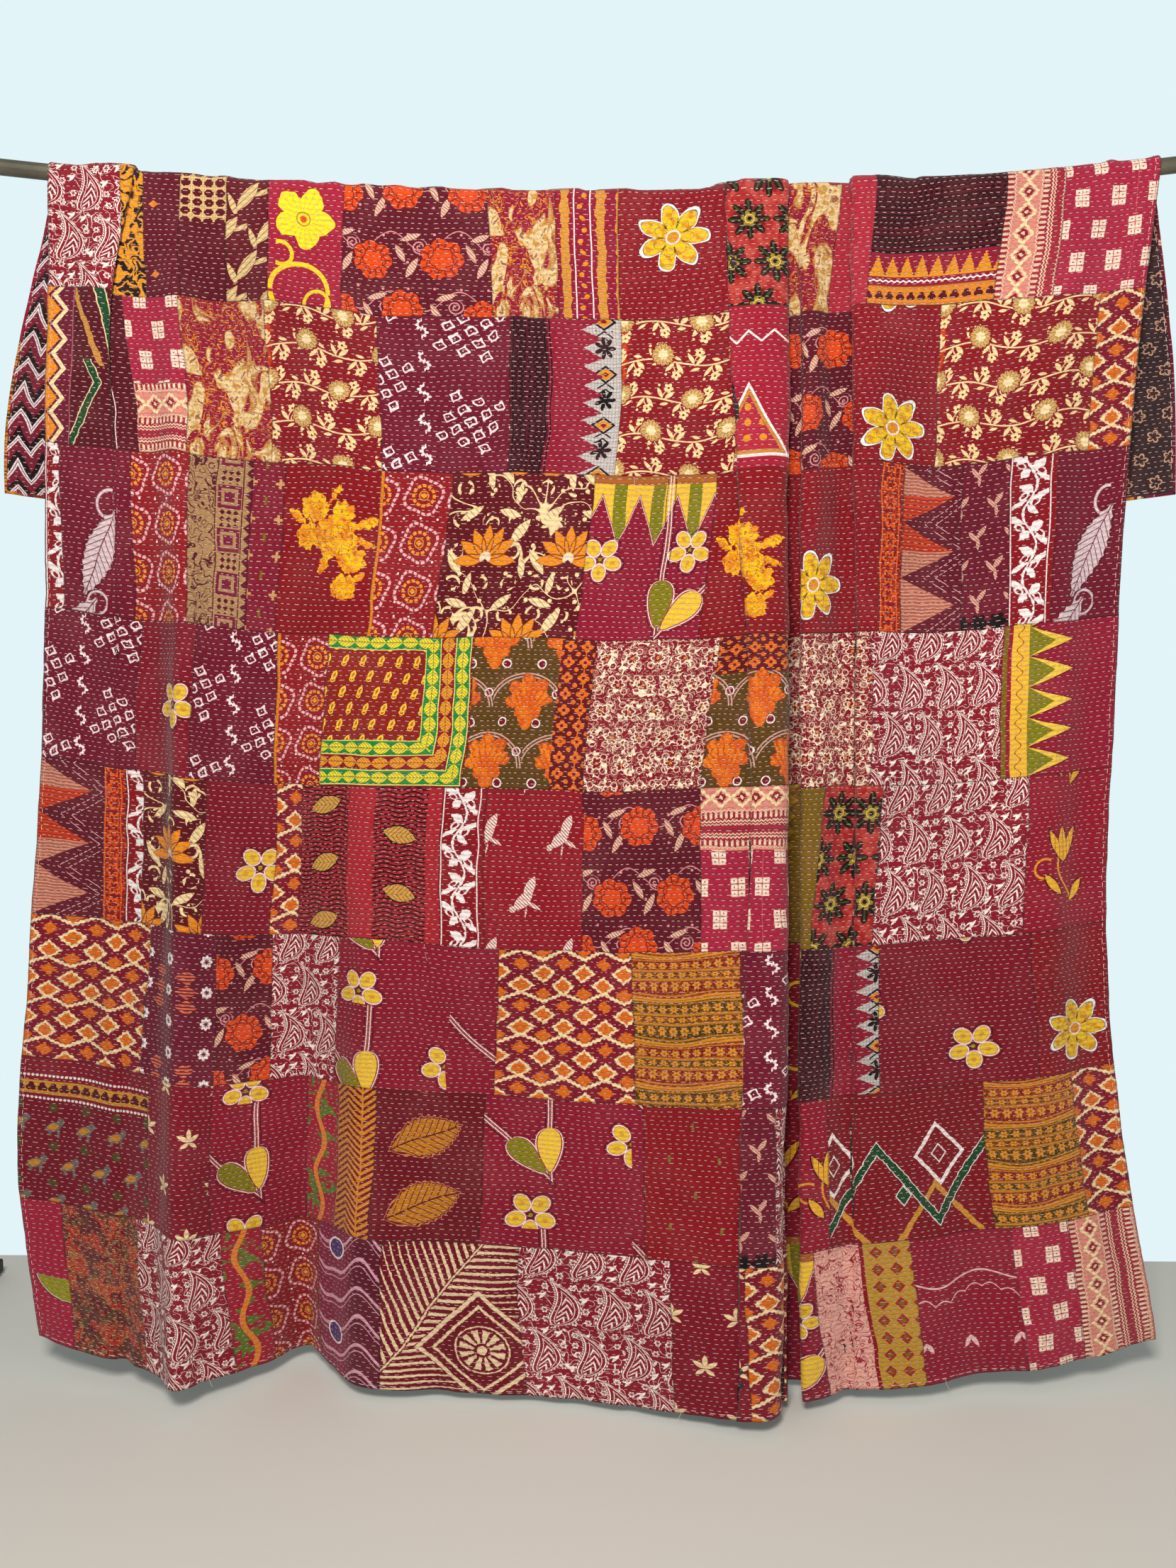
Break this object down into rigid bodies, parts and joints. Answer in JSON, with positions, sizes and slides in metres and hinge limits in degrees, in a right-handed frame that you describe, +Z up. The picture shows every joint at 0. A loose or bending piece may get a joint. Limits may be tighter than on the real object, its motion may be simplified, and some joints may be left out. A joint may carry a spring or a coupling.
{
  "type": "quilt on a rack",
  "caption": "Patchwork quilt with running-stitch quilting, hung over the sagging crossbar of a height-adjustable free-standing rack.",
  "frame": {"origin": "centre of the footprint at floor level, below the middle of the crossbar", "axes": "+X along the crossbar to the viewer's right, +Y away from the viewer towards the quilt's short back drop, +Z up"},
  "size_m": [2.8116, 0.7066, 2.252],
  "materials": {
    "patchwork_cloth": "matte printed cotton with off-white running stitch",
    "backing_cloth": "matte printed cotton, dark zigzag print",
    "brushed_tube": "brushed, pewter tone",
    "bolt_steel": "zinc plated",
    "dark_steel": "black powder coat",
    "black_plastic": "fine grained, matte",
    "rubber_pad": "matte"
  },
  "bodies": {
    "stands": {"left_foot_rail": "dark_steel", "left_foot_cap_front": "black_plastic", "left_pad_front": "rubber_pad", "left_socket_bolt_front": "bolt_steel", "left_brace_front": "dark_steel", "left_foot_cap_back": "black_plastic", "left_pad_back": "rubber_pad", "left_socket_bolt_back": "bolt_steel", "left_brace_back": "dark_steel", "left_socket": "dark_steel", "left_lower_tube": "brushed_tube", "left_clamp_collar": "black_plastic", "right_foot_rail": "dark_steel", "right_foot_cap_front": "black_plastic", "right_pad_front": "rubber_pad", "right_socket_bolt_front": "bolt_steel", "right_brace_front": "dark_steel", "right_foot_cap_back": "black_plastic", "right_pad_back": "rubber_pad", "right_socket_bolt_back": "bolt_steel", "right_brace_back": "dark_steel", "right_socket": "dark_steel", "right_lower_tube": "brushed_tube", "right_clamp_collar": "black_plastic"},
    "left_clamp_knob": {"left_clamp_knob": "black_plastic"},
    "left_mast": {"left_upper_tube": "brushed_tube", "left_saddle": "black_plastic", "left_end_cap": "black_plastic", "right_end_cap": "black_plastic", "crossbar_left": "brushed_tube", "crossbar_centre": "brushed_tube", "crossbar_right": "brushed_tube", "sleeve_left": "dark_steel", "sleeve_right": "dark_steel"},
    "left_saddle_screw": {"left_saddle_screw": "black_plastic"},
    "right_clamp_knob": {"right_clamp_knob": "black_plastic"},
    "right_mast": {"right_upper_tube": "brushed_tube", "right_saddle": "black_plastic"},
    "right_saddle_screw": {"right_saddle_screw": "black_plastic"},
    "quilt": {"quilt_backing": "backing_cloth", "quilt_patchwork_top": "patchwork_cloth"}
  },
  "joints": [
    {"name": "left_raise", "type": "slide", "parent": "stands", "child": "left_mast", "axis": [0, 0, 1], "range_m": [0, 0.4]},
    {"name": "right_raise", "type": "slide", "parent": "stands", "child": "right_mast", "axis": [0, 0, 1], "range_m": [0, 0.4]},
    {"name": "left_clamp_turn", "type": "hinge", "parent": "stands", "child": "left_clamp_knob", "pos_m": [-1.376, 0, 1.5123], "axis": [-1, 0, 0], "range_deg": [0, 270]},
    {"name": "left_saddle_screw_turn", "type": "hinge", "parent": "left_mast", "child": "left_saddle_screw", "pos_m": [-1.33, 0.032, 2.22857], "axis": [0, 1, 0], "range_deg": [0, 270]},
    {"name": "right_clamp_turn", "type": "hinge", "parent": "stands", "child": "right_clamp_knob", "pos_m": [1.376, 0, 1.5123], "axis": [1, 0, 0], "range_deg": [0, 270]},
    {"name": "right_saddle_screw_turn", "type": "hinge", "parent": "right_mast", "child": "right_saddle_screw", "pos_m": [1.33, 0.032, 2.22857], "axis": [0, 1, 0], "range_deg": [0, 270]},
    {"name": "quilt_lift", "type": "slide", "parent": "left_mast", "child": "quilt", "axis": [0, 0, 1], "range_m": [0, 0.68]}
  ],
  "couplings": [
    {"joint": "right_raise", "follows": "left_raise", "ratio": 1}
  ]
}
